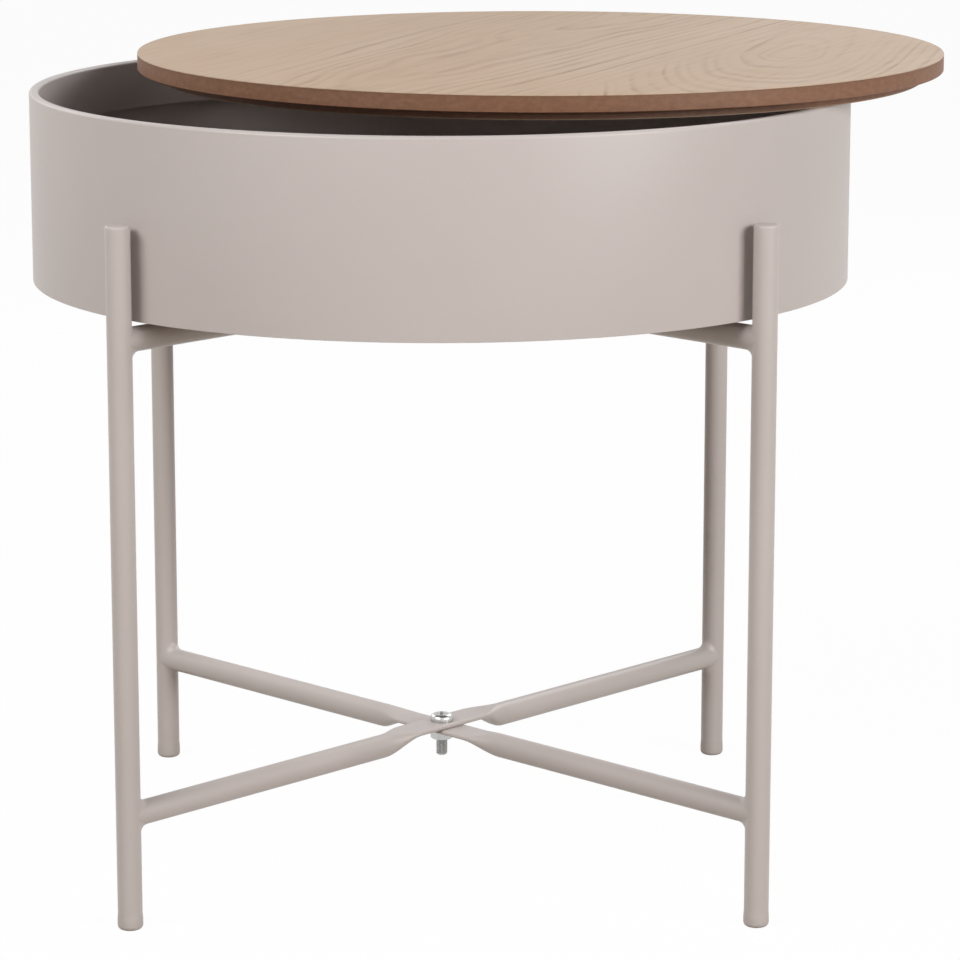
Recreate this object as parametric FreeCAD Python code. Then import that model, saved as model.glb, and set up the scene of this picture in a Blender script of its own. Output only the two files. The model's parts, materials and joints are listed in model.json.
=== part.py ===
"""Storage side table: a round steel tub on two crossed tube frames, with a loose rabbeted lid.

Millimetres, +Z up. The origin is on the floor under the axis of the tub, +Y points to the back.
Frame A holds the front left and back right legs, frame B the front right and back left legs.
"""
import FreeCAD
import Part
import math
import os

# Tub: a rolled steel wall, turned in and down at the rim, and a pressed floor pan welded into it
tub_diameter = 410.0
tub_height = 94.5
tub_sheet = 1.0
rim_width = 4.8
rim_return = 25.0
rim_bend_radius = 1.6
floor_flange = 12.0
floor_bend_radius = 2.6
floor_panel_drop = 2.1
floor_panel_margin = 14.0
floor_step_run = 4.0
floor_step_radius = 1.5
floor_seam_gap = 0.05

# Frames: round tubes, with each crossbar pressed flat where it passes the other one
tube_diameter = 12.0
tube_wall = 1.0
leg_height = 343.0
leg_gap = 3.2
leg_grip = 46.5
lower_bar_height = 56.5
lower_joint_rise = 2.9
flat_length = 46.0
flat_taper = 20.0
flat_slit = 0.2
cope_gap = 0.05
bar_seat_gap = 0.1

# Welds: a hollow fillet above and below each end of a crossbar, running out at the sides
weld_size = 4.5
tub_side_weld_size = 1.6
weld_edge = 0.4
weld_embed = 1.2
weld_gap = 0.05

# Caps in the ends of the legs
foot_height = 8.0
foot_proud = 0.2
foot_flare = 3.0
foot_radius = 2.2
foot_plug = 14.0
top_cap_height = 2.4
top_cap_radius = 1.2
top_cap_plug = 9.0
plug_gap = 0.05

# Fasteners: one bolt and nut through each crossing, and a broad washer inside the tub
bolt_diameter = 6.0
bolt_length = 18.0
bolt_tip_chamfer = 0.8
bolt_head_diameter = 12.0
bolt_head_height = 3.9
bolt_head_shoulder = 1.4
bolt_hole_gap = 0.3
recess_span = 6.6
recess_width = 1.7
recess_depth = 2.3
nut_across_flats = 10.0
nut_height = 5.0
nut_chamfer_angle = 30.0
nut_thread_gap = 0.05
washer_diameter = 18.0
washer_thickness = 1.6

# Lid: a veneered board with a rabbet that drops inside the rim, lying pushed off the tub's axis
lid_overhang = 1.0
lid_board_thickness = 12.0
veneer_thickness = 0.5
lid_rabbet_depth = 4.6
lid_play = 4.7
lid_edge_ease = 0.5
veneer_edge_ease = 0.2
lid_offset = 72.7
lid_offset_angle = 45.0

# Directions of the legs
front_left_angle = 225.0
front_right_angle = 315.0
back_right_angle = 45.0
back_left_angle = 135.0

# Shares and angles that shape the pressed ends, the welds, the recess and the nut
oval_side_share = 0.9
circle_break_angle = 60.0
taper_shares = (0.0, 0.25, 0.5, 0.75, 1.0)
weld_shares = (-0.92, -0.75, -0.4, 0.0, 0.4, 0.75, 0.92)
recess_foot_share = 0.45
nut_face_share = 0.95

# One overrun for every cut that runs out through a face
overrun = 3.0

# Levels and radii that follow from the sizes above
tub_radius = tub_diameter / 2
tube_radius = tube_diameter / 2
tube_bore_radius = tube_radius - tube_wall
bolt_radius = bolt_diameter / 2
bolt_hole_radius = bolt_radius + bolt_hole_gap
leg_circle = tub_radius + leg_gap + tube_radius
tub_level = leg_height - leg_grip
rim_level = tub_level + tub_height
rim_inner_radius = tub_radius - rim_width
panel_level = tub_level - floor_panel_drop
flat_thickness = 2 * tube_wall + flat_slit
flat_width = math.pi * (tube_diameter - flat_thickness) / 2 + flat_thickness
upper_bar_level = panel_level - bar_seat_gap - tube_radius
upper_joint_level = panel_level - flat_thickness
lower_joint_level = lower_bar_height + lower_joint_rise
lid_radius = tub_radius + lid_overhang
lid_step_radius = rim_inner_radius - lid_play
lid_centre_x = lid_offset * math.cos(math.radians(lid_offset_angle))
lid_centre_y = lid_offset * math.sin(math.radians(lid_offset_angle))

UP = FreeCAD.Vector(0, 0, 1)
ALONG = FreeCAD.Vector(1, 0, 0)
ORIGIN = FreeCAD.Vector(0, 0, 0)

leg_angles = {
    "front_left": front_left_angle,
    "front_right": front_right_angle,
    "back_right": back_right_angle,
    "back_left": back_left_angle,
}
frame_angles = {"a": back_right_angle, "b": back_left_angle}


def point(x, y, z):
    return FreeCAD.Vector(x, y, z)


def rounded_face(corners):
    """A face in the XZ plane from (x, z, bend radius) corners, with each bend drawn as an arc."""
    places = [point(x, 0, z) for x, z, _ in corners]
    starts, arcs, ends = [], [], []
    for i, (_, _, bend) in enumerate(corners):
        here = places[i]
        if not bend:
            starts.append(here)
            arcs.append(None)
            ends.append(here)
            continue
        back = (places[i - 1] - here).normalize()
        ahead = (places[(i + 1) % len(places)] - here).normalize()
        half = back.getAngle(ahead) / 2
        inward = (back + ahead).normalize()
        middle = here + inward * (bend / math.sin(half) - bend)
        starts.append(here + back * (bend / math.tan(half)))
        ends.append(here + ahead * (bend / math.tan(half)))
        arcs.append(Part.Arc(starts[-1], middle, ends[-1]).toShape())
    edges = []
    for i in range(len(corners)):
        if (starts[i] - ends[i - 1]).Length > FreeCAD.Base.Precision.confusion():
            edges.append(Part.LineSegment(ends[i - 1], starts[i]).toShape())
        if arcs[i]:
            edges.append(arcs[i])
    return Part.Face(Part.Wire(edges))


def turned(corners):
    """A solid turned about the Z axis from (radius, height, bend radius) corners."""
    return rounded_face(corners).revolve(ORIGIN, UP, 360)


def rod(radius, bottom, top):
    return Part.makeCylinder(radius, top - bottom, point(0, 0, bottom), UP)


def at_leg(shape, angle):
    """Puts a shape made on the Z axis at the leg that stands in this direction."""
    turn = math.radians(angle)
    return shape.translated(point(leg_circle * math.cos(turn), leg_circle * math.sin(turn), 0))


def about_axis(shape, angle):
    return shape.rotated(ORIGIN, UP, angle)


def raised(shape, level):
    return shape.translated(UP * level)


def tub_wall():
    bend = rim_bend_radius
    inner_bend = rim_bend_radius - tub_sheet
    return turned([
        (tub_radius, tub_level, 0),
        (tub_radius, rim_level, bend),
        (rim_inner_radius, rim_level, bend),
        (rim_inner_radius, rim_level - rim_return, 0),
        (rim_inner_radius + tub_sheet, rim_level - rim_return, 0),
        (rim_inner_radius + tub_sheet, rim_level - tub_sheet, inner_bend),
        (tub_radius - tub_sheet, rim_level - tub_sheet, inner_bend),
        (tub_radius - tub_sheet, tub_level, 0),
    ])


def tub_floor():
    outer = tub_radius - tub_sheet - floor_seam_gap
    step = outer - floor_panel_margin
    panel = step - floor_step_run
    slope = math.atan2(floor_panel_drop, floor_step_run)
    shift = tub_sheet * math.tan(slope / 2)
    top = tub_level + floor_flange
    return turned([
        (bolt_hole_radius, panel_level, 0),
        (panel, panel_level, floor_step_radius),
        (step, tub_level, floor_step_radius + tub_sheet),
        (outer, tub_level, floor_bend_radius),
        (outer, top, 0),
        (outer - tub_sheet, top, 0),
        (outer - tub_sheet, tub_level + tub_sheet, floor_bend_radius - tub_sheet),
        (step - shift, tub_level + tub_sheet, floor_step_radius),
        (panel - shift, panel_level + tub_sheet, floor_step_radius + tub_sheet),
        (bolt_hole_radius, panel_level + tub_sheet, 0),
    ])


def leg_tube():
    outside = rod(tube_radius, foot_height, leg_height - top_cap_height)
    bore = rod(tube_bore_radius, foot_height - overrun, leg_height + overrun)
    return outside.cut(bore)


def foot_cap():
    radius = tube_radius + foot_proud
    plug = tube_bore_radius - plug_gap
    return turned([
        (0, 0, 0),
        (radius, 0, foot_radius),
        (radius, foot_height - foot_flare, 0),
        (tube_radius, foot_height, 0),
        (plug, foot_height, 0),
        (plug, foot_height + foot_plug, 0),
        (0, foot_height + foot_plug, 0),
    ])


def top_cap():
    plug = tube_bore_radius - plug_gap
    seat = leg_height - top_cap_height
    return turned([
        (0, seat - top_cap_plug, 0),
        (plug, seat - top_cap_plug, 0),
        (plug, seat, 0),
        (tube_radius, seat, 0),
        (tube_radius, leg_height, top_cap_radius),
        (0, leg_height, 0),
    ])


def four_arcs(x, side, side_centre, break_angle, crown, lift):
    """A closed wire across X: two side arcs and two crown arcs that meet at the break points."""
    turn = math.radians(break_angle)
    y = side_centre + side * math.cos(turn)
    z = side * math.sin(turn)
    right_top, left_top = point(x, y, lift + z), point(x, -y, lift + z)
    right_low, left_low = point(x, y, lift - z), point(x, -y, lift - z)
    reach = side_centre + side
    edges = [
        Part.Arc(right_low, point(x, reach, lift), right_top).toShape(),
        Part.Arc(right_top, point(x, 0, lift + crown), left_top).toShape(),
        Part.Arc(left_top, point(x, -reach, lift), left_low).toShape(),
        Part.Arc(left_low, point(x, 0, lift - crown), right_low).toShape(),
    ]
    return Part.Wire(edges)


def tube_section(x, share, lift, inset):
    """The tube's outline across X, from round at share 0 to pressed flat at share 1."""
    width = tube_radius + (flat_width / 2 - tube_radius) * share - inset
    height = tube_radius + (flat_thickness / 2 - tube_radius) * share - inset
    if share == 0:
        return four_arcs(x, width, 0, circle_break_angle, height, 0)
    side = oval_side_share * height
    reach = width - side
    crown = (reach ** 2 + height ** 2 - side ** 2) / (2 * (height - side))
    angle = math.degrees(math.atan2(crown - height, reach))
    return four_arcs(x, side, reach, angle, height, lift * share)


def pressed_end(lift, inset):
    """The stretch in which the tube goes from round to flat, on the +X side of the crossing."""
    sections = []
    for share in taper_shares:
        eased = (1 + math.cos(math.pi * share)) / 2
        x = flat_length / 2 + flat_taper * share
        sections.append(tube_section(x, eased if share < 1 else 0, lift, inset))
    return Part.makeLoft(sections, True, False)


def crossbar(level, joint_level, above):
    """A tube along X, pressed flat at its middle just above or just below the joint level."""
    half = flat_thickness / 2
    lift = joint_level - level + (half if above else -half)
    flat = Part.Face(tube_section(-flat_length / 2, 1, lift, 0)).extrude(ALONG * flat_length)
    round_start = flat_length / 2 + flat_taper
    bar = flat
    for turn in (0, 180):
        run = leg_circle - round_start
        outside = Part.makeCylinder(tube_radius, run, ALONG * round_start, ALONG)
        bore = Part.makeCylinder(tube_bore_radius, run, ALONG * round_start, ALONG)
        solid = outside.fuse(pressed_end(lift, 0))
        hollow = bore.fuse(pressed_end(lift, tube_wall))
        cope = rod(tube_radius + cope_gap, -tube_diameter, tube_diameter).translated(ALONG * leg_circle)
        bar = bar.fuse(about_axis(solid.cut(hollow).cut(cope), turn))
    hole = rod(bolt_hole_radius, -tube_diameter, tube_diameter)
    return raised(bar.cut(hole).removeSplitter(), level)


def weld_section(share, full_size):
    """The fillet's outline at one place across the bar, in the corner of the leg and the bar's top."""
    y = tube_radius * share
    corner = math.sqrt(tube_radius ** 2 - y ** 2)
    size = weld_edge + (full_size - weld_edge) * math.sqrt(1 - (share / weld_shares[-1]) ** 2)
    bow = size * (1 - math.cos(math.radians(45)))
    inner = point(-corner + weld_embed, y, corner - weld_embed)
    above = point(-corner + weld_embed, y, corner + size)
    leg_toe = point(-corner, y, corner + size)
    hollow = point(-corner - bow, y, corner + bow)
    bar_toe = point(-corner - size, y, corner)
    under = point(-corner - size, y, corner - weld_embed)
    edges = [
        Part.LineSegment(inner, above).toShape(),
        Part.LineSegment(above, leg_toe).toShape(),
        Part.Arc(leg_toe, hollow, bar_toe).toShape(),
        Part.LineSegment(bar_toe, under).toShape(),
        Part.LineSegment(under, inner).toShape(),
    ]
    return Part.Wire(edges)


def weld_fillet(size):
    """The fillet above one bar end, for a leg on the Z axis and a bar towards -X."""
    reach = tube_diameter + size
    fillet = Part.makeLoft([weld_section(share, size) for share in weld_shares], True, False)
    leg = rod(tube_radius + weld_gap, -reach, reach)
    bar = Part.makeCylinder(tube_radius + weld_gap, reach, ALONG * -reach, ALONG)
    return fillet.cut(leg).cut(bar)


def joint_weld(level, top_size):
    """The fillets above and below a bar end at this level."""
    top = weld_fillet(top_size)
    under = weld_fillet(weld_size).rotated(ORIGIN, ALONG, 180)
    return raised(Part.makeCompound([top, under]), level)


def recess():
    """The tapered cross in a bolt head, with its mouth at height 0."""
    arms = []
    for turn in (0, 90):
        mouth = Part.makePlane(recess_span, recess_width, point(-recess_span / 2, -recess_width / 2, 0))
        span, width = recess_span * recess_foot_share, recess_width * recess_foot_share
        foot = Part.makePlane(span, width, point(-span / 2, -width / 2, -recess_depth))
        arm = Part.makeLoft([mouth.OuterWire, foot.OuterWire], True, True)
        arms.append(about_axis(arm, turn))
    return arms[0].fuse(arms[1])


def bolt(seat):
    """A pan head bolt hanging down from the level that its head rests on."""
    head = bolt_head_diameter / 2
    body = turned([
        (0, seat - bolt_length, 0),
        (bolt_radius, seat - bolt_length, 0),
        (bolt_radius, seat, 0),
        (head, seat, 0),
        (head, seat + bolt_head_height, bolt_head_height - bolt_head_shoulder),
        (0, seat + bolt_head_height, 0),
    ])
    tip = [e for e in body.Edges if e.BoundBox.ZMax < seat - bolt_length + bolt_tip_chamfer / 2]
    body = body.makeChamfer(bolt_tip_chamfer, [e for e in tip if e.Length > bolt_radius * math.pi])
    return body.cut(raised(recess(), seat + bolt_head_height))


def nut(top):
    """A hexagon nut under a level, with its corners turned off at both faces."""
    corner = nut_across_flats / 2 / math.cos(math.radians(30))
    corners = [point(corner * math.cos(math.radians(a)), corner * math.sin(math.radians(a)), 0)
               for a in range(0, 420, 60)]
    prism = Part.Face(Part.makePolygon(corners)).extrude(UP * nut_height)
    face = nut_face_share * nut_across_flats / 2
    drop = (corner + overrun - face) * math.tan(math.radians(nut_chamfer_angle))
    barrel = turned([
        (0, 0, 0),
        (face, 0, 0),
        (corner + overrun, drop, 0),
        (corner + overrun, nut_height - drop, 0),
        (face, nut_height, 0),
        (0, nut_height, 0),
    ])
    bore = rod(bolt_radius + nut_thread_gap, -overrun, nut_height + overrun)
    return raised(prism.common(barrel).cut(bore), top - nut_height)


def washer(seat):
    disc = rod(washer_diameter / 2, seat, seat + washer_thickness)
    return disc.cut(rod(bolt_hole_radius, seat - overrun, seat + washer_thickness + overrun))


def on_lid(shape):
    return shape.translated(point(lid_centre_x, lid_centre_y, rim_level))


def lid_backing():
    return on_lid(rod(lid_step_radius, 0, veneer_thickness))


def lid_board():
    top = veneer_thickness + lid_board_thickness
    return on_lid(turned([
        (0, veneer_thickness, 0),
        (lid_step_radius, veneer_thickness, 0),
        (lid_step_radius, lid_rabbet_depth, 0),
        (lid_radius, lid_rabbet_depth, lid_edge_ease),
        (lid_radius, top, 0),
        (0, top, 0),
    ]))


def lid_veneer():
    bottom = veneer_thickness + lid_board_thickness
    top = bottom + veneer_thickness
    return on_lid(turned([
        (0, bottom, 0),
        (lid_radius, bottom, 0),
        (lid_radius, top, veneer_edge_ease),
        (0, top, 0),
    ]))


def pieces():
    """Every piece of the table by name, each a solid or a group of like solids."""
    parts = {"tub_wall": tub_wall(), "tub_floor": tub_floor()}
    upper_weld = joint_weld(upper_bar_level, tub_side_weld_size)
    lower_weld = joint_weld(lower_bar_height, weld_size)
    for name, angle in leg_angles.items():
        parts["leg_" + name] = at_leg(leg_tube(), angle)
        parts["foot_cap_" + name] = at_leg(foot_cap(), angle)
        parts["top_cap_" + name] = at_leg(top_cap(), angle)
        parts["upper_weld_" + name] = at_leg(about_axis(upper_weld, angle), angle)
        parts["lower_weld_" + name] = at_leg(about_axis(lower_weld, angle), angle)
    for name, angle in frame_angles.items():
        above = name == "a"
        upper = crossbar(upper_bar_level, upper_joint_level, above)
        lower = crossbar(lower_bar_height, lower_joint_level, above)
        parts["upper_crossbar_" + name] = about_axis(upper, angle)
        parts["lower_crossbar_" + name] = about_axis(lower, angle)
    tub_seat = panel_level + tub_sheet
    parts["tub_washer"] = washer(tub_seat)
    parts["tub_bolt"] = bolt(tub_seat + washer_thickness)
    parts["tub_nut"] = nut(upper_joint_level - flat_thickness)
    parts["cross_bolt"] = bolt(lower_joint_level + flat_thickness)
    parts["cross_nut"] = nut(lower_joint_level - flat_thickness)
    parts["lid_backing"] = lid_backing()
    parts["lid_board"] = lid_board()
    parts["lid_veneer"] = lid_veneer()
    return parts


os.makedirs("parts", exist_ok=True)
for name, shape in pieces().items():
    shape.exportStep(os.path.join("parts", name + ".step"))
    print(name, len(shape.Solids), shape.isValid(), round(shape.Volume))
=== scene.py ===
import json
import math

import bpy
from bpy.props import FloatProperty, FloatVectorProperty, PointerProperty
from mathutils import Matrix, Vector

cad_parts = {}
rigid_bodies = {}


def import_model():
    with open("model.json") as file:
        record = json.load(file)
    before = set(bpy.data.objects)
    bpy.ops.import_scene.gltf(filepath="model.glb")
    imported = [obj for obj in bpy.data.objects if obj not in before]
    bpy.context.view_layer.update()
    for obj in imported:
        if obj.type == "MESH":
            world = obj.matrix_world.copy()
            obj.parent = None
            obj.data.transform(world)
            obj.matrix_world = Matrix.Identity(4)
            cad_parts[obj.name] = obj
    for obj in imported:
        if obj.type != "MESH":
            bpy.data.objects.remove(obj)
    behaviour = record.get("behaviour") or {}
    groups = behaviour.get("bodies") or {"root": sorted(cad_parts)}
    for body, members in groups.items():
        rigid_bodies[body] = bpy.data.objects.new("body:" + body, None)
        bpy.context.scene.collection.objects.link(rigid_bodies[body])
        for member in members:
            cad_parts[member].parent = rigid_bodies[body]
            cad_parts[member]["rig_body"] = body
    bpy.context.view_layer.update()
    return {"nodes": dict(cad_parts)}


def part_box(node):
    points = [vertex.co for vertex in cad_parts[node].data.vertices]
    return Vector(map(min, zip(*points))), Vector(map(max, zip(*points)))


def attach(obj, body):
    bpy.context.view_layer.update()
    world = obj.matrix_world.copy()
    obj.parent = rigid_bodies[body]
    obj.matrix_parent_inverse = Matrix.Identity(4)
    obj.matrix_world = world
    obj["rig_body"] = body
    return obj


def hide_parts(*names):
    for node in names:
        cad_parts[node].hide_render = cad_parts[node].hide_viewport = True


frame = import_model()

bl_info = {
    "name": "Storage Side Table",
    "version": (1, 0, 0),
    "blender": (4, 5, 0),
    "location": "View3D > Sidebar > Side Table",
    "description": "Round steel tub on crossed tube legs, with a loose veneered lid",
    "category": "Object",
}

LEGS = ("front_left", "front_right", "back_right", "back_left")
FRAME_ANGLES = {"a": math.radians(45), "b": math.radians(135)}
CROSSINGS = {"upper": "tub_nut", "lower": "cross_nut"}
BEND_POINTS = 6
TURN_STEPS = 240
TUBE_STEPS = 56
TAPER_CUTS = 12
THREAD_RINGS = 10
WELD_GRID = {"x_subdivisions": 40, "y_subdivisions": 10}
MERGE = 1e-6
WHITE = (1, 1, 1, 1)
SENSOR_WIDTH = 36
VIEW_END = 100


# Sizes and colours

def length(name, default, description):
    return FloatProperty(name=name, description=description, default=default, min=0, precision=5,
                         unit="LENGTH")


def angle(name, degrees, description):
    return FloatProperty(name=name, description=description, default=math.radians(degrees),
                         subtype="ANGLE")


def share(name, default, description):
    return FloatProperty(name=name, description=description, default=default, min=0, max=1,
                         subtype="FACTOR")


def power(name, default, description):
    return FloatProperty(name=name, description=description, default=default, min=0, unit="POWER")


def colour(name, default, description):
    return FloatVectorProperty(name=name, description=description, default=default, size=3,
                               min=0, max=1, subtype="COLOR")


class TubSizes(bpy.types.PropertyGroup):
    """Sizes of the sheet steel tub"""
    sheet: length("Sheet", 0.001, "Thickness of the steel sheet")
    edge: length("Cut edge", 0.00025, "Rounding of the paint on a cut edge")
    rim_width: length("Rim width", 0.0048, "Width of the turned-in rim")
    rim_return: length("Rim return", 0.025, "How far the rim is turned down inside")
    rim_bend: length("Rim bend", 0.0016, "Outer radius of the rim's bends")
    floor_margin: length("Floor margin", 0.014, "Width of the flat edge round the pressed panel")
    floor_step: length("Floor step", 0.004, "Width of the slope down to the pressed panel")
    floor_bend: length("Floor bend", 0.0026, "Outer radius where the floor turns up")
    floor_drop: length("Floor drop", 0.0021, "Depth of the pressed panel")
    seam: length("Seam", 0.00005, "Gap between the wall and the floor's flange")


class TubeSizes(bpy.types.PropertyGroup):
    """Sizes of the legs, crossbars, caps and welds"""
    wall: length("Tube wall", 0.001, "Wall thickness of the tubes")
    plug_gap: length("Plug gap", 0.00005, "Gap between a cap's plug and the tube's bore")
    flat_length: length("Flat length", 0.046, "Length of the flat at the middle of a crossbar")
    flat_taper: length("Flat taper", 0.020, "Length over which the round tube goes over into the flat")
    flat_thickness: length("Flat thickness", 0.0022, "Thickness of the flat, two walls and a slit")
    hole_gap: length("Hole gap", 0.0003, "Gap round the bolt in a flat")
    cope_overlap: length("Cope overlap", 0.0001, "How far a crossbar's end reaches into the leg's wall")
    foot_radius: length("Foot radius", 0.0022, "Rounding of the foot cap")
    foot_flare: length("Foot flare", 0.003, "Height over which the foot cap widens below the tube")
    top_radius: length("Top radius", 0.0012, "Rounding of the top cap")
    cap_edge: length("Cap edge", 0.00025, "Rounding of the ends of the plugs")
    weld_size: length("Weld size", 0.0045, "Leg length of the weld fillets")
    tub_weld_size: length("Weld size by the tub", 0.0016, "Leg length of the fillets under the tub")
    weld_edge: length("Weld edge", 0.0004, "Leg length where a fillet runs out")
    weld_ripple: length("Weld ripple", 0.00012, "Height of the ripples along a weld")
    weld_pitch: length("Weld pitch", 0.0017, "Distance between two ripples")
    weld_skin: length("Weld skin", 0.0008, "Thickness of the fillet's skin")
    weld_reach: share("Weld reach", 0.92, "Width of a fillet as a share of the tube's width")


class FastenerSizes(bpy.types.PropertyGroup):
    """Sizes of the bolts, nuts and washer"""
    thread_pitch: length("Thread pitch", 0.001, "Pitch of the bolt's thread")
    thread_depth: length("Thread depth", 0.00055, "Depth of the bolt's thread")
    thread_runout: length("Thread run-out", 0.0012, "Length over which the thread fades at each end")
    bolt: length("Bolt", 0.006, "Diameter of the bolt")
    tip_chamfer: length("Tip chamfer", 0.0008, "Chamfer of the bolt's tip")
    head_height: length("Head height", 0.0039, "Height of the bolt's head")
    head_shoulder: length("Head shoulder", 0.0014, "Height of the straight side of the head")
    recess_span: length("Recess span", 0.0066, "Length of one arm of the cross recess")
    recess_width: length("Recess width", 0.0017, "Width of an arm at the mouth")
    recess_depth: length("Recess depth", 0.0023, "Depth of the cross recess")
    recess_foot: share("Recess foot", 0.45, "Size of an arm at its foot, as a share of its mouth")
    edge: length("Edge", 0.0002, "Rounding of the edges")
    chamfer: angle("Nut chamfer", 30, "Angle at which the nut's corners are turned off")
    chamfer_face: share("Nut face", 0.95, "Face as a share of the width over flats")


class LidSizes(bpy.types.PropertyGroup):
    """Sizes of the lid"""
    rabbet: length("Rabbet", 0.0046, "Depth of the rabbet, with the backing")
    board_ease: length("Board ease", 0.0005, "Rounding of the board's lower edge")
    veneer_ease: length("Veneer ease", 0.00018, "Rounding of the veneer's edge")


class Finishes(bpy.types.PropertyGroup):
    """Colours of the finishes and the way the grain runs"""
    paint: colour("Paint", (0.540, 0.486, 0.466), "Powder coat")
    paint_shade: colour("Paint shade", (0.512, 0.457, 0.436), "Powder coat where it lies thicker")
    paint_roughness: share("Paint roughness", 0.40, "How matt the powder coat is")
    foot: colour("Foot", (0.525, 0.470, 0.448), "Plastic of the foot caps")
    zinc: colour("Zinc", (0.58, 0.58, 0.57), "Zinc plate")
    zinc_dull: colour("Dull zinc", (0.40, 0.40, 0.39), "Zinc plate where it has dulled")
    wood: colour("Wood", (0.497, 0.355, 0.245), "Pale wood between the lines of the grain")
    wood_line: colour("Wood line", (0.325, 0.214, 0.138), "Lines of the grain")
    wood_pale: colour("Limed wood", (0.540, 0.400, 0.291), "Wood with the lime wiped into it")
    board: colour("Board", (0.190, 0.088, 0.047), "Fibreboard")
    board_dark: colour("Dark fibres", (0.122, 0.053, 0.027), "Dark fibres in the board")
    board_pale: colour("Pale fibres", (0.236, 0.116, 0.063), "Pale fibres in the board")
    backing: colour("Backing", (0.360, 0.255, 0.180), "Backing veneer")
    grain_angle: angle("Grain angle", 66, "Direction of the grain, from +X towards +Y")


class StageSettings(bpy.types.PropertyGroup):
    """Camera, floor and lamps"""
    distance: length("Camera distance", 2.0039, "How far the camera stands in front of the table's axis")
    height: length("Camera height", 0.6169, "Height of the camera above the floor")
    side: FloatProperty(name="Camera side", default=-0.0096, unit="LENGTH", precision=5,
                        description="How far the camera stands to the right of the axis")
    yaw: angle("Camera yaw", 0.842, "How far the camera is turned to the right")
    pitch: angle("Camera pitch", 12.055, "How far the camera looks down")
    focal_share: FloatProperty(name="Focal share", default=4.1725,
                               description="Focal length as a share of the picture's width")
    floor_size: length("Floor size", 24.0, "Side of the floor")
    floor_glow: share("Floor glow", 0.965, "How much of the floor's own white the camera sees")
    floor_seen: colour("Floor", (0.95, 0.95, 0.95), "Floor as the camera sees it")
    floor_bounce: colour("Floor bounce", (0.42, 0.37, 0.31), "Floor as it lights the table from below")
    ambient: share("Ambient light", 0.05, "Strength of the light from all round")
    ambient_tint: colour("Ambient tint", (1, 0.93, 0.86), "Colour of the light from all round")
    lamp_distance: length("Lamp distance", 2.4, "How far the lamps stand from the middle of the table")
    lamp_aim: length("Lamp aim", 0.25, "Height at which the lamps are aimed")
    lamp_width: length("Lamp width", 1.2, "Width of each lamp")
    lamp_height: length("Lamp height", 1.0, "Height of each lamp")
    key_power: power("Key lamp", 40, "Lamp at the front right")
    fill_power: power("Fill lamp", 34, "Lamp at the left, a little to the front")
    front_power: power("Front lamp", 5, "Lamp at the front")
    back_left_power: power("Back left lamp", 11, "Lamp at the back left")
    back_right_power: power("Back right lamp", 15, "Lamp at the back right")


# Modelling helpers

def object_mode():
    if bpy.context.object and bpy.context.object.mode != "OBJECT":
        bpy.ops.object.mode_set(mode="OBJECT")


def select_only(piece):
    object_mode()
    bpy.ops.object.select_all(action="DESELECT")
    piece.select_set(True)
    bpy.context.view_layer.objects.active = piece


def begin(name, add, **settings):
    """Adds a primitive with nothing else selected and opens it in edit mode with all of it selected."""
    object_mode()
    bpy.ops.object.select_all(action="DESELECT")
    add(**settings)
    piece = bpy.context.object
    piece.name = name
    piece.data.name = name
    bpy.ops.object.transform_apply(location=True, rotation=True, scale=True)
    bpy.ops.object.mode_set(mode="EDIT")
    bpy.ops.mesh.select_all(action="SELECT")
    return piece


def close_up(piece, sharp=30):
    """Merges doubled points, turns the faces outwards and shades all but the sharp edges smooth."""
    select_only(piece)
    bpy.ops.object.mode_set(mode="EDIT")
    bpy.ops.mesh.select_all(action="SELECT")
    bpy.ops.mesh.remove_doubles(threshold=MERGE)
    bpy.ops.mesh.normals_make_consistent(inside=False)
    bpy.ops.object.mode_set(mode="OBJECT")
    bpy.ops.object.shade_smooth_by_angle(angle=math.radians(sharp))
    return piece


def rounded(corners):
    """The points of an outline of (radius, height, bend) corners, each bend drawn as an arc."""
    points = []
    for i, (radius, height, bend) in enumerate(corners):
        here = Vector((radius, height))
        if not bend:
            points.append(here)
            continue
        back = (Vector(corners[i - 1][:2]) - here).normalized()
        ahead = (Vector(corners[(i + 1) % len(corners)][:2]) - here).normalized()
        half = back.angle(ahead) / 2
        centre = here + (back + ahead).normalized() * (bend / math.sin(half))
        start = here + back * (bend / math.tan(half)) - centre
        end = here + ahead * (bend / math.tan(half)) - centre
        sweep = math.atan2(start.x * end.y - start.y * end.x, start.dot(end))
        for k in range(BEND_POINTS + 1):
            points.append(centre + Matrix.Rotation(sweep * k / BEND_POINTS, 2) @ start)
    return points


def turned(name, points, centre=(0, 0), steps=TURN_STEPS):
    """Draws an outline by extruding one vertex along it, and spins it about a vertical axis."""
    piece = begin(name, bpy.ops.mesh.primitive_plane_add, size=1)
    bpy.ops.mesh.merge(type="CENTER")
    here = Vector((0, 0, 0))
    for i, point in enumerate(points):
        there = Vector((centre[0] + point[0], centre[1], point[1]))
        move = {"value": there - here}
        if i == 0:
            bpy.ops.transform.translate(**move)
        else:
            bpy.ops.mesh.extrude_region_move(TRANSFORM_OT_translate=move)
        here = there
    bpy.ops.mesh.select_all(action="SELECT")
    bpy.ops.mesh.spin(steps=steps, angle=2 * math.pi, center=(centre[0], centre[1], 0), axis=(0, 0, 1))
    return close_up(piece)


def turned_ring(name, corners, centre=(0, 0), steps=TURN_STEPS):
    """A turned piece whose outline is closed and stays off the axis."""
    points = rounded(corners)
    return turned(name, points + points[:1], centre, steps)


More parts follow.
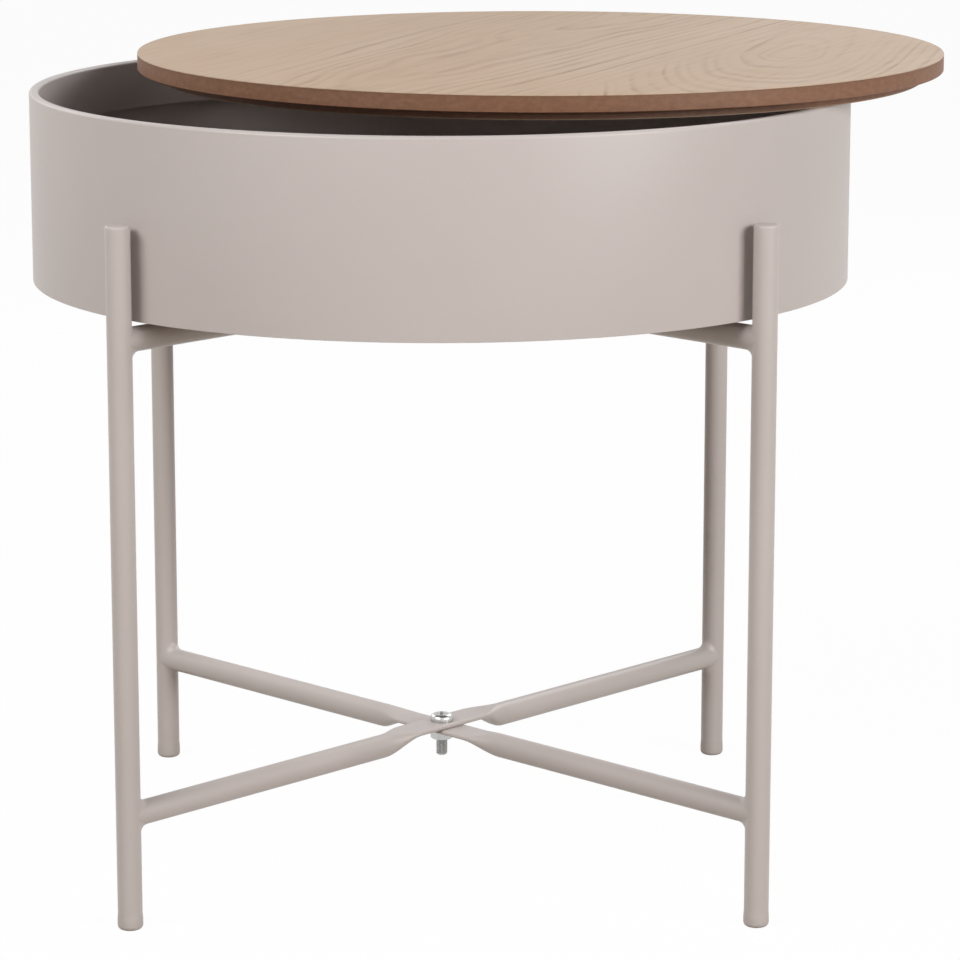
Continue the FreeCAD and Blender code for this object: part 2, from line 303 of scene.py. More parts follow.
def carve(piece, tool, operation="DIFFERENCE"):
    """Cuts a piece with a tool, or keeps what the two share, and deletes the tool."""
    select_only(piece)
    cut = piece.modifiers.new("cut", "BOOLEAN")
    cut.object = tool
    cut.operation = operation
    cut.solver = "EXACT"
    bpy.ops.object.modifier_apply(modifier=cut.name)
    bpy.data.objects.remove(tool)
    return close_up(piece)


def place(piece, node, slot):
    """Gives a piece its finish and lets it stand for a node, on the body that the node is on."""
    piece.data.materials.clear()
    piece.data.materials.append(finish(slot))
    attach(piece, frame["nodes"][node]["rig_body"])
    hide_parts(node)


def centre_of(node):
    low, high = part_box(node)
    return (low + high) / 2


def radius_of(node):
    low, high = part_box(node)
    return (high.x - low.x) / 2


def bolt_hole():
    """Radius of the hole that a bolt passes through."""
    scene = bpy.context.scene
    return scene.table_fasteners.bolt / 2 + scene.table_tubes.hole_gap


# Shader helpers

class Field:
    """A shader socket: an expression on fields adds the Math nodes that work it out."""

    def __init__(self, tree, socket=None):
        self.tree = tree
        self.socket = socket

    def node(self, kind, settings=None, inputs=None, output=0):
        """Adds a node, makes its settings, fills or links its inputs and returns one of its outputs."""
        node = self.tree.nodes.new(kind)
        for key, value in (settings or {}).items():
            setattr(node, key, value)
        for key, value in (inputs or {}).items():
            if isinstance(value, Field):
                self.tree.links.new(value.socket, node.inputs[key])
            else:
                node.inputs[key].default_value = value
        return Field(self.tree, node.outputs[output])

    def math(self, operation, *values):
        return self.node("ShaderNodeMath", {"operation": operation}, dict(enumerate(values)))

    def __add__(self, other):
        return self.math("ADD", self, other)

    def __radd__(self, other):
        return self.math("ADD", other, self)

    def __sub__(self, other):
        return self.math("SUBTRACT", self, other)

    def __rsub__(self, other):
        return self.math("SUBTRACT", other, self)

    def __mul__(self, other):
        return self.math("MULTIPLY", self, other)

    def __rmul__(self, other):
        return self.math("MULTIPLY", other, self)

    def __truediv__(self, other):
        return self.math("DIVIDE", self, other)

    def __pow__(self, other):
        return self.math("POWER", self, other)

    def step(self, low, high):
        """0 below low, 1 above high and smooth between."""
        return self.node("ShaderNodeMapRange", {"interpolation_type": "SMOOTHSTEP"},
                         {"Value": self, "From Min": low, "From Max": high})

    def noise(self, scale, detail=2.0, roughness=0.5, stretch=(1, 1, 1), offset=(0, 0, 0)):
        """Noise on this vector: scale is in cycles per metre, stretch scales the axes first."""
        vector = self.node("ShaderNodeMapping", None,
                           {"Vector": self, "Location": offset, "Scale": stretch})
        return self.node("ShaderNodeTexNoise", None, {
            "Vector": vector, "Scale": scale, "Detail": detail, "Roughness": roughness})

    def noise_along(self, scale):
        """Noise along this one value."""
        return self.node("ShaderNodeTexNoise", {"noise_dimensions": "1D"},
                         {"W": self, "Scale": scale, "Detail": 1.0})

    def parts(self):
        """The three parts of this vector."""
        apart = self.node("ShaderNodeSeparateXYZ", None, {0: self}).socket.node
        return [Field(self.tree, output) for output in apart.outputs]

    def blend(self, first, second):
        """Mixes two colours by this field."""
        return self.node("ShaderNodeMix", {"data_type": "RGBA"}, {0: self, 6: first, 7: second}, 2)

    def bump(self, strength, distance):
        return self.node("ShaderNodeBump", None,
                         {"Strength": strength, "Distance": distance, "Height": self})


def rgba(tint, light=1.0):
    """A colour for a socket, made darker where light is under 1."""
    return (*(part * light for part in tint), 1.0)


def new_material(name):
    """An empty material and its object coordinates."""
    material = bpy.data.materials.new(name)
    material.use_nodes = True
    tree = material.node_tree
    tree.nodes.clear()
    return material, Field(tree).node("ShaderNodeTexCoord", output="Object")


def surface(material, inputs):
    """Ends a material in one Principled shader with these inputs."""
    tree = material.node_tree
    shader = Field(tree).node("ShaderNodeBsdfPrincipled", None, inputs)
    output = tree.nodes.new("ShaderNodeOutputMaterial")
    tree.links.new(shader.socket, output.inputs["Surface"])
    return material


# Finishes

def powder_coat(name, finishes):
    """Satin powder coat: the fine orange peel of baked powder and a slow drift in tone."""
    material, at = new_material(name)
    drift = at.noise(9, 3)
    peel = at.noise(620, 2)
    grit = at.noise(2600, 2)
    tone = drift.step(0.3, 0.7) * 0.6 + grit.step(0.35, 0.75) * 0.4
    return surface(material, {
        "Base Color": tone.blend(rgba(finishes.paint), rgba(finishes.paint_shade)),
        "Roughness": finishes.paint_roughness + (peel - 0.5) * 0.12,
        "Specular IOR Level": 0.42,
        "Normal": (peel + grit * 0.35).bump(0.22, 0.00006),
    })


def foot_plastic(name, finishes):
    """Moulded plastic with a fine spark-eroded texture."""
    material, at = new_material(name)
    grain = at.noise(3200, 2)
    patch_noise = at.noise(260, 4, 0.6)
    # Patchy darkening over the lowest 3.5 mm of the foot, towards the floor.
    low_patches = at.parts()[2].step(0.0035, 0.0) * patch_noise.step(0.45, 0.7)
    return surface(material, {
        "Base Color": (low_patches * 0.5 + grain * 0.2).blend(rgba(finishes.foot), rgba(finishes.foot, 0.72)),
        "Roughness": 0.55 + grain * 0.15,
        "Normal": grain.bump(0.25, 0.00004),
    })


def zinc_plate(name, finishes):
    """Bright zinc plate over turned steel, a little clouded."""
    material, at = new_material(name)
    cloud = at.noise(700, 4, 0.6)
    lines = at.noise(900, 3, 0.6, (0.15, 0.15, 5))
    dulled = cloud.step(0.35, 0.75) * 0.6 + lines * 0.3
    return surface(material, {
        "Base Color": dulled.blend(rgba(finishes.zinc), rgba(finishes.zinc_dull)),
        "Metallic": 1.0,
        "Roughness": 0.2 + cloud * 0.2,
        "Normal": (lines + cloud * 0.3).bump(0.12, 0.00003),
    })


def growth_rings(across, along, heart, tip, depth, slope, back, sway, square=2.0):
    """Distance from the heart of the log: a flat cut shows its rings as arches along the grain."""
    sideways = across.math("ABSOLUTE", across - heart)
    ahead = along - tip + sway
    below = ahead.math("MAXIMUM", ahead * -slope, ahead * back) + depth
    return (sideways ** square + below ** square) ** (1 / square)


def ring_lines(distance, spacing):
    """Dark late wood: a soft rise and a quicker fall in each ring, uneven in width and depth."""
    ring = distance / spacing + distance.noise_along(0.4 / spacing) * 1.9
    phase = ring.math("FRACT", ring)
    late = phase.step(0.30, 0.80) * (1 - phase.step(0.82, 1.0))
    return late * (0.25 + 0.75 * distance.noise_along(0.9 / spacing).step(0.38, 0.62))


def limed_wood(name, finishes):
    """Flat-cut pale veneer in two leaves, with lime in the pores under a matt lacquer."""
    material, at = new_material(name)
    middle = centre_of("lid_veneer")
    grain = at.node("ShaderNodeMapping", {"vector_type": "TEXTURE"}, {
        "Vector": at, "Location": (middle.x, middle.y, 0), "Rotation": (0, 0, finishes.grain_angle)})
    along, across, _ = grain.parts()
    sway = grain.noise(8, 2, 0.5, (0.5, 1, 1)) - 0.5
    quiver = grain.noise(40, 2, 0.5, (0.3, 1, 1)) - 0.5
    drift = sway * 0.020 + quiver * 0.0030
    wide = growth_rings(
        across - along * 0.02 + drift, along, heart=0.018, tip=0.65, depth=0.0, slope=0.055, back=0.0,
        sway=sway * -1.0 + quiver * -0.07)
    tight = growth_rings(
        across - along * 0.20 + drift * 0.5, along, heart=-0.132, tip=0.021, depth=0.012, slope=0.26,
        back=0.08, sway=sway * 0.03 + quiver * -0.018, square=2.4)
    leaf = across.step(-0.092, -0.080)
    plain = across.step(0.055, 0.125) * 0.7
    arms = along.step(0.06, 0.15) * 0.6
    wide_lines = ring_lines(wide, spacing=0.0062) * (1 - plain)
    tight_lines = ring_lines(tight, spacing=0.0056) * (0.85 - arms)
    line = leaf * wide_lines + (1 - leaf) * tight_lines
    fade = grain.noise(30, 3, 0.6, (0.26, 1, 1), (3, 5, 0)).step(0.36, 0.64)
    streak = grain.noise(300, 3, 0.6, (0.07, 1, 0.07))
    pores = grain.noise(1300, 3, 0.6, (0.04, 1, 0.04)).step(0.56, 0.70) * (0.4 + line * 0.6)
    cloud = grain.noise(10, 3, 0.5, (0.4, 1, 1), (7, 2, 0))
    body = cloud.step(0.3, 0.7).blend(rgba(finishes.wood), rgba(finishes.wood_pale))
    streaks = streak.step(0.46, 0.74) * (0.16 + line * 0.30)
    dark = line * (0.20 + fade * 0.50) + streaks + pores * 0.28
    return surface(material, {
        "Base Color": dark.blend(body, rgba(finishes.wood_line)),
        "Roughness": 0.52 + streak * 0.12,
        "Specular IOR Level": 0.35,
        "Normal": (1 - pores * 0.7 - streak * 0.3).bump(0.25, 0.00008),
    })


def fibreboard(name, finishes):
    """Raw edge of brown fibreboard: pressed fibres, denser and darker towards the faces."""
    material, at = new_material(name)
    low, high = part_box("lid_board")
    through = (at.parts()[2] - low.z) / (high.z - low.z)
    skin = through.step(0.25, 0.0) + through.step(0.72, 1.0)
    fibres = at.noise(900, 4, 0.65, (1, 1, 2.4))
    clumps = at.noise(240, 3, 0.6, (1, 1, 1.8))
    chips = at.noise(1700, 2, 0.5, (1, 1, 1.5))
    body = clumps.step(0.3, 0.75).blend(rgba(finishes.board), rgba(finishes.board_pale))
    # Painted shade: a dark line along the top of the edge, just under the veneer, standing in for the
    # shade under the veneer's edge.
    veneer_edge_shade = through.step(0.955, 0.985) * 0.5
    dark = fibres.step(0.5, 0.78) * 0.55 + chips.step(0.62, 0.72) * 0.35 + skin * 0.22 + veneer_edge_shade
    return surface(material, {
        "Base Color": dark.blend(body, rgba(finishes.board_dark)),
        "Roughness": 0.48 + fibres * 0.2,
        "Specular IOR Level": 0.45,
        "Normal": (fibres + clumps * 0.6).bump(0.3, 0.00008),
    })


def backing_veneer(name, finishes):
    """Plain straight-grained backing on the underside of the lid."""
    material, at = new_material(name)
    grain = at.node("ShaderNodeMapping", {"vector_type": "TEXTURE"}, {
        "Vector": at, "Rotation": (0, 0, finishes.grain_angle)})
    lines = grain.noise(110, 3, 0.55, (0.03, 1, 0.03))
    pores = grain.noise(1300, 3, 0.6, (0.035, 1, 0.035))
    dark = lines.step(0.3, 0.7) * 0.6 + pores * 0.4
    return surface(material, {
        "Base Color": dark.blend(rgba(finishes.backing), rgba(finishes.backing, 0.72)),
        "Roughness": 0.66 + pores * 0.14,
        "Specular IOR Level": 0.3,
        "Normal": (pores + lines * 0.4).bump(0.25, 0.00008),
    })


FINISH_MAKERS = {
    "paint": ("satin_paint", powder_coat),
    "foot_plastic": ("foot_plastic_finish", foot_plastic),
    "zinc": ("zinc_finish", zinc_plate),
    "veneer": ("limed_veneer", limed_wood),
    "fibreboard": ("brown_fibreboard", fibreboard),
    "backing_veneer": ("backing_finish", backing_veneer),
}


def finish(slot):
    """The finish of a slot, made the first time it is asked for."""
    name, make = FINISH_MAKERS[slot]
    return bpy.data.materials.get(name) or make(name, bpy.context.scene.table_finishes)


# Pieces

class TABLE_OT_tub(bpy.types.Operator):
    """Build the wall and the floor of the tub"""
    bl_idname = "side_table.tub"
    bl_label = "Tub"

    def execute(self, context):
        sizes = context.scene.table_tub
        low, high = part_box("tub_wall")
        radius = radius_of("tub_wall")
        inner = radius - sizes.rim_width
        inner_bend = sizes.rim_bend - sizes.sheet
        wall = turned_ring("tub_wall_sheet", [
            (radius, low.z, sizes.edge),
            (radius, high.z, sizes.rim_bend),
            (inner, high.z, sizes.rim_bend),
            (inner, high.z - sizes.rim_return, sizes.edge),
            (inner + sizes.sheet, high.z - sizes.rim_return, sizes.edge),
            (inner + sizes.sheet, high.z - sizes.sheet, inner_bend),
            (radius - sizes.sheet, high.z - sizes.sheet, inner_bend),
            (radius - sizes.sheet, low.z, sizes.edge),
        ])
        place(wall, "tub_wall", "paint")
        self.floor(sizes, radius, low.z)
        return {"FINISHED"}

    def floor(self, sizes, wall_radius, level):
        low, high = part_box("tub_floor")
        sheet = sizes.sheet
        hole = bolt_hole()
        tight_bend, wide_bend = 1.5 * sheet, 2.5 * sheet
        outer = wall_radius - sheet - sizes.seam
        step = outer - sizes.floor_margin
        panel = step - sizes.floor_step
        shift = sheet * math.tan(math.atan2(sizes.floor_drop, sizes.floor_step) / 2)
        pan = turned_ring("tub_floor_pan", [
            (hole, low.z, 0),
            (panel, low.z, tight_bend),
            (step, level, wide_bend),
            (outer, level, sizes.floor_bend),
            (outer, high.z, sizes.edge),
            (outer - sheet, high.z, sizes.edge),
            (outer - sheet, level + sheet, sizes.floor_bend - sheet),
            (step - shift, level + sheet, tight_bend),
            (panel - shift, low.z + sheet, wide_bend),
            (hole, low.z + sheet, 0),
        ])
        place(pan, "tub_floor", "paint")


class TABLE_OT_legs(bpy.types.Operator):
    """Build the leg tubes with their foot caps and top caps"""
    bl_idname = "side_table.legs"
    bl_label = "Legs"

    def execute(self, context):
        sizes = context.scene.table_tubes
        for leg in LEGS:
            self.tube(sizes, leg)
            self.foot(sizes, leg)
            self.top(sizes, leg)
        return {"FINISHED"}

    def tube(self, sizes, leg):
        node = "leg_" + leg
        low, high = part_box(node)
        radius = radius_of(node)
        bore = radius - sizes.wall
        tube = turned_ring("leg_tube_" + leg, [
            (radius, low.z, 0),
            (radius, high.z, 0),
            (bore, high.z, 0),
            (bore, low.z, 0),
        ], centre_of(node), TUBE_STEPS)
        place(tube, node, "paint")

    def foot(self, sizes, leg):
        node = "foot_cap_" + leg
        low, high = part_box(node)
        radius = radius_of(node)
        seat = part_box("leg_" + leg)[0].z
        tube = radius_of("leg_" + leg)
        plug = tube - sizes.wall - sizes.plug_gap
        points = rounded([
            (0, low.z, 0),
            (radius, low.z, sizes.foot_radius),
            (radius, seat - sizes.foot_flare, sizes.foot_flare),
            (tube, seat, 0),
            (plug, seat, 0),
            (plug, high.z, sizes.cap_edge),
            (0, high.z, 0),
        ])
        cap = turned("foot_" + leg, points, centre_of(node), TUBE_STEPS)
        place(cap, node, "foot_plastic")

    def top(self, sizes, leg):
        node = "top_cap_" + leg
        low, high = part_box(node)
        radius = radius_of(node)
        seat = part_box("leg_" + leg)[1].z
        plug = radius - sizes.wall - sizes.plug_gap
        points = rounded([
            (0, low.z, 0),
            (plug, low.z, sizes.cap_edge),
            (plug, seat, 0),
            (radius, seat, 0),
            (radius, high.z, sizes.top_radius),
            (0, high.z, 0),
        ])
        cap = turned("leg_top_" + leg, points, centre_of(node), TUBE_STEPS)
        place(cap, node, "paint")


def ease(share_along):
    """0 to 1 with level ends."""
    bounded = min(max(share_along, 0), 1)
    return (1 - math.cos(math.pi * bounded)) / 2


class TABLE_OT_crossbars(bpy.types.Operator):
    """Build the crossbars: tubes pressed flat at the crossing and coped to the legs"""
    bl_idname = "side_table.crossbars"
    bl_label = "Crossbars"

    def execute(self, context):
        sizes = context.scene.table_tubes
        for level, nut in CROSSINGS.items():
            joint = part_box(nut)[1].z + sizes.flat_thickness
            for name, turn in FRAME_ANGLES.items():
                self.bar(sizes, f"{level}_crossbar_{name}", joint, turn, name == "a")
        return {"FINISHED"}

    def bar(self, sizes, node, joint, turn, above):
        leg = centre_of("leg_back_right")
        radius = radius_of("leg_back_right")
        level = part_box(node)[0].z + radius
        reach = Vector((leg.x, leg.y)).length
        half = sizes.flat_thickness / 2
        lift = joint - level + (half if above else -half)
        bar = self.tube(sizes, node, radius, reach)
        for vertex in bar.data.vertices:
            vertex.co = self.pressed(sizes, vertex.co, radius, reach, lift)
        bar.data.transform(Matrix.Translation((0, 0, level)) @ Matrix.Rotation(turn, 4, "Z"))
        close_up(bar, 60)
        drill = begin("drill", bpy.ops.mesh.primitive_cylinder_add, vertices=TUBE_STEPS,
                      radius=bolt_hole(), depth=4 * radius, location=(0, 0, level))
        carve(bar, drill)
        close_up(bar, 40)
        place(bar, node, "paint")

    def tube(self, sizes, node, radius, reach):
        """A tube along X, cut across where it will bend."""
        bar = begin(node + "_tube", bpy.ops.mesh.primitive_cylinder_add, vertices=TUBE_STEPS,
                    radius=radius, depth=2 * reach, rotation=(0, math.pi / 2, 0))
        start = sizes.flat_length / 2
        cuts = [start + sizes.flat_taper * k / TAPER_CUTS for k in range(TAPER_CUTS + 1)]
        cuts += [start / 3, 2 * start / 3, start + 1.6 * sizes.flat_taper, reach - 2 * radius]
        for cut in cuts:
            for side in (-cut, cut):
                bpy.ops.mesh.select_all(action="SELECT")
                bpy.ops.mesh.bisect(plane_co=(side, 0, 0), plane_no=(1, 0, 0))
        object_mode()
        return bar

    def pressed(self, sizes, place_on_tube, radius, reach, lift):
        """Where a point of the round tube goes: its section keeps its girth as it becomes a flat."""
        x, y, z = place_on_tube
        round_share = ease((abs(x) - sizes.flat_length / 2) / sizes.flat_taper)
        half = sizes.flat_thickness / 2
        corner = half + (radius - half) * round_share
        spread = math.pi * (radius - half) / 2 * (1 - round_share)
        side = math.copysign(spread, y) if abs(y) > MERGE else 0
        across = y / radius * corner + side
        up = z / radius * corner + lift * (1 - round_share)
        if abs(x) > reach - radius:
            end = reach - math.sqrt(max(radius ** 2 - across ** 2, 0)) + sizes.cope_overlap
            x = math.copysign(end, x)
        return Vector((x, across, up))


class TABLE_OT_welds(bpy.types.Operator):
    """Build the rippled weld fillets between the crossbars and the legs"""
    bl_idname = "side_table.welds"
    bl_label = "Welds"

    def execute(self, context):
        sizes = context.scene.table_tubes
        for level in CROSSINGS:
            bar_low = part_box(f"{level}_crossbar_b")[0].z
            top_size = sizes.tub_weld_size if level == "upper" else sizes.weld_size
            for leg in LEGS:
                self.joint(sizes, level, leg, bar_low, top_size)
        return {"FINISHED"}

    def joint(self, sizes, level, leg, bar_low, top_size):
        node = f"{level}_weld_{leg}"
        middle = centre_of("leg_" + leg)
        radius = radius_of("leg_" + leg)
        top = self.fillet(sizes, node + "_bead", radius, top_size, 1)
        under = self.fillet(sizes, node + "_under", radius, sizes.weld_size, -1)
        select_only(under)
        top.select_set(True)
        bpy.context.view_layer.objects.active = top
        bpy.ops.object.join()
        turn = math.atan2(middle.y, middle.x)
        spot = Matrix.Translation((middle.x, middle.y, bar_low + radius))
        top.data.transform(spot @ Matrix.Rotation(turn, 4, "Z"))
        close_up(top, 50)
        place(top, node, "paint")

    def fillet(self, sizes, name, radius, size, way):
        """A grid bent into the corner of a leg on the Z axis and a bar towards -X, then thickened."""
        bead = begin(name, bpy.ops.mesh.primitive_grid_add, size=2, **WELD_GRID)
        object_mode()
        for vertex in bead.data.vertices:
            side, up, _ = vertex.co
            across = side * radius * sizes.weld_reach
            fade = math.sqrt(max(1 - side ** 2, 0))
            ripple = math.sin(2 * math.pi * across / sizes.weld_pitch + 1.2 * math.cos(3 * side))
            crest = sizes.weld_ripple * fade * (1 + ripple) / 2 * math.cos(up * math.pi / 2)
            leg_size = sizes.weld_edge + (size - sizes.weld_edge) * fade
            hollow = leg_size - crest
            corner = math.sqrt(radius ** 2 - across ** 2)
            turn = (up + 1) * math.pi / 4
            x = -corner - leg_size + hollow * math.sin(turn)
            z = corner + leg_size - hollow * math.cos(turn)
            vertex.co = (x, across, z * way)
        select_only(bead)
        skin = bead.modifiers.new("skin", "SOLIDIFY")
        skin.thickness = sizes.weld_skin * way
        skin.offset = 1
        bpy.ops.object.modifier_apply(modifier=skin.name)
        return bead


class TABLE_OT_fasteners(bpy.types.Operator):
    """Build the bolts, the nuts and the washer"""
    bl_idname = "side_table.fasteners"
    bl_label = "Bolts, nuts and washer"

    def execute(self, context):
        sizes = context.scene.table_fasteners
        for name in ("tub", "cross"):
            self.bolt(sizes, name + "_bolt")
            self.nut(sizes, name + "_nut")
        self.washer(sizes)
        return {"FINISHED"}

    def bolt(self, sizes, node):
        low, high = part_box(node)
        radius = sizes.bolt / 2
        head = radius_of(node)
        seat = high.z - sizes.head_height
        rings = round((seat - low.z) / sizes.thread_pitch * THREAD_RINGS)
        shank = [Vector((radius, low.z + (seat - low.z) * k / rings)) for k in range(1, rings)]
        cap = rounded([
            (radius, seat, 0),
            (head, seat, sizes.edge),
            (head, high.z, sizes.head_height - sizes.head_shoulder),
            (0, high.z, 0),
        ])
        points = [Vector((0, low.z)), Vector((radius, low.z))] + shank + cap
        bolt = turned(node + "_turned", points, (0, 0), TUBE_STEPS)
        for vertex in bolt.data.vertices:
            vertex.co = self.threaded(sizes, vertex.co, low.z, seat)
        for turn in (0, math.pi / 2):
            carve(bolt, self.recess_arm(sizes, high.z, turn))
        close_up(bolt, 35)
        place(bolt, node, "zinc")

    def threaded(self, sizes, spot, tip, seat):
        """Cuts the thread into a point of the shank, fading towards the head, with a chamfered tip."""
        out = math.hypot(spot.x, spot.y)
        if spot.z > seat - sizes.edge or out < MERGE:
            return spot
        turns = math.atan2(spot.y, spot.x) / (2 * math.pi)
        phase = (spot.z / sizes.thread_pitch - turns) % 1
        groove = 1 - abs(2 * phase - 1)
        fade = min((seat - spot.z) / sizes.thread_runout, 1)
        radius = sizes.bolt / 2 - sizes.thread_depth * min(max(1.25 * groove - 0.1, 0), 1) * fade
        limit = sizes.bolt / 2 - sizes.tip_chamfer + (spot.z - tip)
        scale = min(radius, limit) / (sizes.bolt / 2)
        return Vector((spot.x * scale, spot.y * scale, spot.z))

    def recess_arm(self, sizes, mouth, turn):
        """One tapered arm of the cross, with its mouth a little above the head."""
        spare = sizes.edge
        depth = sizes.recess_depth + spare
        arm = begin("recess_arm", bpy.ops.mesh.primitive_cube_add, size=1,
                    scale=(sizes.recess_span, sizes.recess_width, depth),
                    location=(0, 0, mouth + spare - depth / 2))
        bpy.ops.mesh.select_all(action="DESELECT")
        object_mode()
        for face in arm.data.polygons:
            face.select = face.normal.z < -0.5
        bpy.ops.object.mode_set(mode="EDIT")
        bpy.ops.transform.resize(value=(sizes.recess_foot, sizes.recess_foot, 1),
                                 center_override=(0, 0, mouth))
        object_mode()
        arm.data.transform(Matrix.Rotation(turn, 4, "Z"))
        return arm

    def nut(self, sizes, node):
        low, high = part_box(node)
        flats = high.y - low.y
        corner = flats / 2 / math.cos(math.pi / 6)
        height = high.z - low.z
        nut = begin(node + "_hexagon", bpy.ops.mesh.primitive_cylinder_add, vertices=6, radius=corner,
                    depth=height, location=(0, 0, low.z + height / 2), rotation=(0, 0, math.pi / 6))
        face = sizes.chamfer_face * flats / 2
        wide = 1.4 * corner
        drop = (wide - face) * math.tan(sizes.chamfer)
        barrel = turned("barrel", [
            Vector((0, low.z - sizes.edge)),
            Vector((face, low.z)),
            Vector((wide, low.z + drop)),
            Vector((wide, high.z - drop)),
            Vector((face, high.z)),
            Vector((0, high.z + sizes.edge)),
        ], (0, 0), 2 * TUBE_STEPS)
        carve(nut, barrel, "INTERSECT")
        bore = sizes.bolt / 2
        mouth = bore + sizes.thread_depth
        drill = turned("drill", [
            Vector((0, low.z - sizes.edge)),
            Vector((mouth, low.z - sizes.edge)),
            Vector((mouth, low.z)),
            Vector((bore, low.z + sizes.thread_depth)),
            Vector((bore, high.z - sizes.thread_depth)),
            Vector((mouth, high.z)),
            Vector((mouth, high.z + sizes.edge)),
            Vector((0, high.z + sizes.edge)),
        ], (0, 0), TUBE_STEPS)
        carve(nut, drill)
        close_up(nut, 20)
        place(nut, node, "zinc")

    def washer(self, sizes):
        low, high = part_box("tub_washer")
        hole = bolt_hole()
        rim = radius_of("tub_washer")
        washer = turned_ring("tub_washer_disc", [
            (hole, low.z, 0),
            (rim, low.z, sizes.edge),
            (rim, high.z, 2 * sizes.edge),
            (hole, high.z, sizes.edge),
        ], (0, 0), 2 * TUBE_STEPS)
        place(washer, "tub_washer", "zinc")


class TABLE_OT_lid(bpy.types.Operator):
    """Build the lid: veneer, rabbeted board and backing"""
    bl_idname = "side_table.lid"
    bl_label = "Lid"

    def execute(self, context):
        sizes = context.scene.table_lid
        self.veneer(sizes)
        self.board(sizes)
        self.backing()
        return {"FINISHED"}

    def veneer(self, sizes):
        low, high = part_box("lid_veneer")
        radius = radius_of("lid_veneer")
        points = rounded([
            (0, low.z, 0),
            (radius, low.z, 0),
            (radius, high.z, sizes.veneer_ease),
            (0, high.z, 0),
        ])
        sheet = turned("lid_veneer_sheet", points, centre_of("lid_veneer"))
        place(sheet, "lid_veneer", "veneer")

    def board(self, sizes):
        low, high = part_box("lid_board")
        radius = radius_of("lid_board")
        step = radius_of("lid_backing")
        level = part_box("lid_backing")[0].z + sizes.rabbet
        points = rounded([
            (0, low.z, 0),
            (step, low.z, 0),
            (step, level, sizes.veneer_ease),
            (radius, level, sizes.board_ease),
            (radius, high.z, 0),
            (0, high.z, 0),
        ])
        disc = turned("lid_board_disc", points, centre_of("lid_board"))
        place(disc, "lid_board", "fibreboard")

    def backing(self):
        low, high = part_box("lid_backing")
        radius = radius_of("lid_backing")
        points = rounded([(0, low.z, 0), (radius, low.z, 0), (radius, high.z, 0), (0, high.z, 0)])
        sheet = turned("lid_backing_sheet", points, centre_of("lid_backing"))
        place(sheet, "lid_backing", "backing_veneer")


# Stage

def add_lamp(stage, name, watts, azimuth, elevation):
    """A large soft lamp aimed at the middle of the table, placed by degrees round it and above it."""
    lamp = bpy.data.lights.new(name, "AREA")
    lamp.shape = "RECTANGLE"
    lamp.size = stage.lamp_width
    lamp.size_y = stage.lamp_height
    lamp.energy = watts
    turn, rise = math.radians(azimuth), math.radians(elevation)
    level = math.cos(rise)
    away = Vector((level * math.cos(turn), level * math.sin(turn), math.sin(rise)))
    holder = bpy.data.objects.new(name, lamp)
    holder.location = Vector((0, 0, stage.lamp_aim)) + away * stage.lamp_distance
    holder.rotation_euler = (-away).to_track_quat("-Z", "Y").to_euler()
    holder.visible_camera = False
    bpy.context.scene.collection.objects.link(holder)


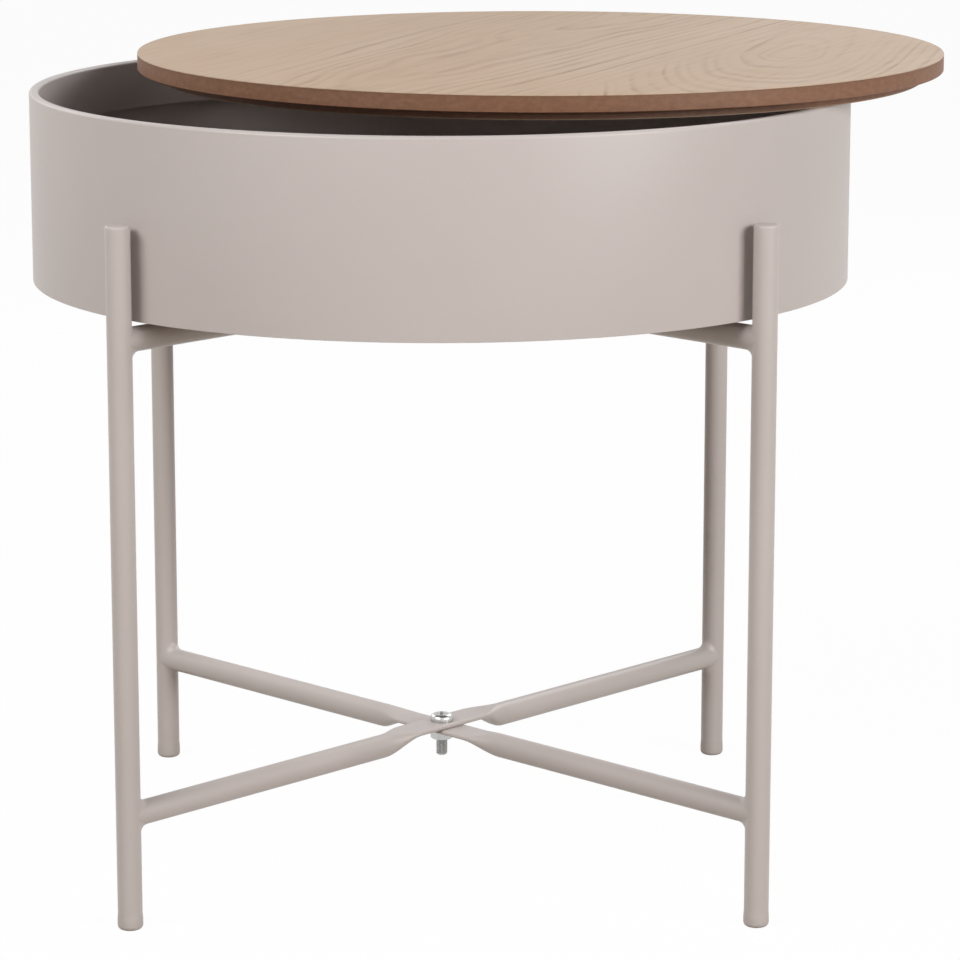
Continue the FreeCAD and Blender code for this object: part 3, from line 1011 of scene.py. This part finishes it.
class TABLE_OT_stage(bpy.types.Operator):
    """Set up the floor, the lamps, the world and the camera"""
    bl_idname = "side_table.stage"
    bl_label = "Stage"

    def execute(self, context):
        stage = context.scene.table_stage
        self.floor(stage)
        self.world(context, stage)
        self.lamps(stage)
        self.camera(context, stage)
        context.scene.view_settings.view_transform = "Standard"
        return {"FINISHED"}

    def floor(self, stage):
        floor = begin("studio_floor", bpy.ops.mesh.primitive_plane_add, size=stage.floor_size)
        bpy.ops.mesh.subdivide(number_cuts=3)
        object_mode()
        material = bpy.data.materials.new("studio_floor_white")
        material.use_nodes = True
        tree = material.node_tree
        tree.nodes.clear()
        start = Field(tree)
        seen = self.seen(start)
        tone = seen.blend(rgba(stage.floor_bounce), rgba(stage.floor_seen))
        matt = start.node("ShaderNodeBsdfDiffuse", None, {"Color": tone})
        white = start.node("ShaderNodeEmission", None, {"Color": WHITE, "Strength": 1.0})
        glow = seen * stage.floor_glow
        mixed = start.node("ShaderNodeMixShader", None, {0: glow, 1: matt, 2: white})
        output = tree.nodes.new("ShaderNodeOutputMaterial")
        tree.links.new(mixed.socket, output.inputs["Surface"])
        floor.data.materials.append(material)

    def seen(self, start):
        """1 for rays from the camera, off a mirror or through glass."""
        path = start.tree.nodes.new("ShaderNodeLightPath")
        camera, glossy, glass = (Field(start.tree, path.outputs[name]) for name in
                                 ("Is Camera Ray", "Is Glossy Ray", "Is Transmission Ray"))
        return camera.math("MAXIMUM", camera, glossy.math("MAXIMUM", glossy, glass))

    def world(self, context, stage):
        world = bpy.data.worlds.new("studio")
        context.scene.world = world
        world.use_nodes = True
        tree = world.node_tree
        tree.nodes.clear()
        start = Field(tree)
        seen = self.seen(start)
        light = start.node("ShaderNodeBackground", None,
                           {"Color": rgba(stage.ambient_tint), "Strength": stage.ambient})
        white = start.node("ShaderNodeBackground", None, {"Color": WHITE, "Strength": 1.0})
        mixed = start.node("ShaderNodeMixShader", None, {0: seen, 1: light, 2: white})
        output = tree.nodes.new("ShaderNodeOutputWorld")
        tree.links.new(mixed.socket, output.inputs["Surface"])

    def lamps(self, stage):
        add_lamp(stage, "key_right", stage.key_power, azimuth=318, elevation=19)
        add_lamp(stage, "fill_left", stage.fill_power, azimuth=220, elevation=35)
        add_lamp(stage, "front", stage.front_power, azimuth=245, elevation=30)
        add_lamp(stage, "back_left", stage.back_left_power, azimuth=135, elevation=30)
        add_lamp(stage, "back_right", stage.back_right_power, azimuth=58, elevation=34)

    def camera(self, context, stage):
        data = bpy.data.cameras.new("photo_view")
        data.sensor_width = SENSOR_WIDTH
        data.lens = SENSOR_WIDTH * stage.focal_share
        data.clip_end = VIEW_END
        camera = bpy.data.objects.new("photo_view", data)
        camera.location = (stage.side, -stage.distance, stage.height)
        camera.rotation_euler = (math.pi / 2 - stage.pitch, 0, -stage.yaw)
        context.scene.collection.objects.link(camera)
        context.scene.camera = camera


class TABLE_PT_panel(bpy.types.Panel):
    """Lists the table's pieces and their sizes"""
    bl_idname = "TABLE_PT_panel"
    bl_label = "Storage Side Table"
    bl_space_type = "VIEW_3D"
    bl_region_type = "UI"
    bl_category = "Side Table"

    def draw(self, context):
        layout = self.layout
        for operator in OPERATORS:
            layout.operator(operator.bl_idname)
        for name in GROUPS:
            box = layout.box()
            box.label(text=name.replace("table_", "").capitalize())
            group = getattr(context.scene, name)
            for prop in group.__annotations__:
                box.prop(group, prop)


GROUPS = {
    "table_tub": TubSizes,
    "table_tubes": TubeSizes,
    "table_fasteners": FastenerSizes,
    "table_lid": LidSizes,
    "table_finishes": Finishes,
    "table_stage": StageSettings,
}
OPERATORS = (TABLE_OT_tub, TABLE_OT_legs, TABLE_OT_crossbars, TABLE_OT_welds, TABLE_OT_fasteners,
             TABLE_OT_lid, TABLE_OT_stage)


def register():
    for cls in (*GROUPS.values(), *OPERATORS, TABLE_PT_panel):
        bpy.utils.register_class(cls)
    for name, group in GROUPS.items():
        setattr(bpy.types.Scene, name, PointerProperty(type=group))


def unregister():
    for name in GROUPS:
        delattr(bpy.types.Scene, name)
    for cls in reversed((*GROUPS.values(), *OPERATORS, TABLE_PT_panel)):
        bpy.utils.unregister_class(cls)


def main():
    register()
    bpy.ops.side_table.tub()
    bpy.ops.side_table.legs()
    bpy.ops.side_table.crossbars()
    bpy.ops.side_table.welds()
    bpy.ops.side_table.fasteners()
    bpy.ops.side_table.lid()
    bpy.ops.side_table.stage()
    object_mode()


if __name__ == "__main__":
    main()
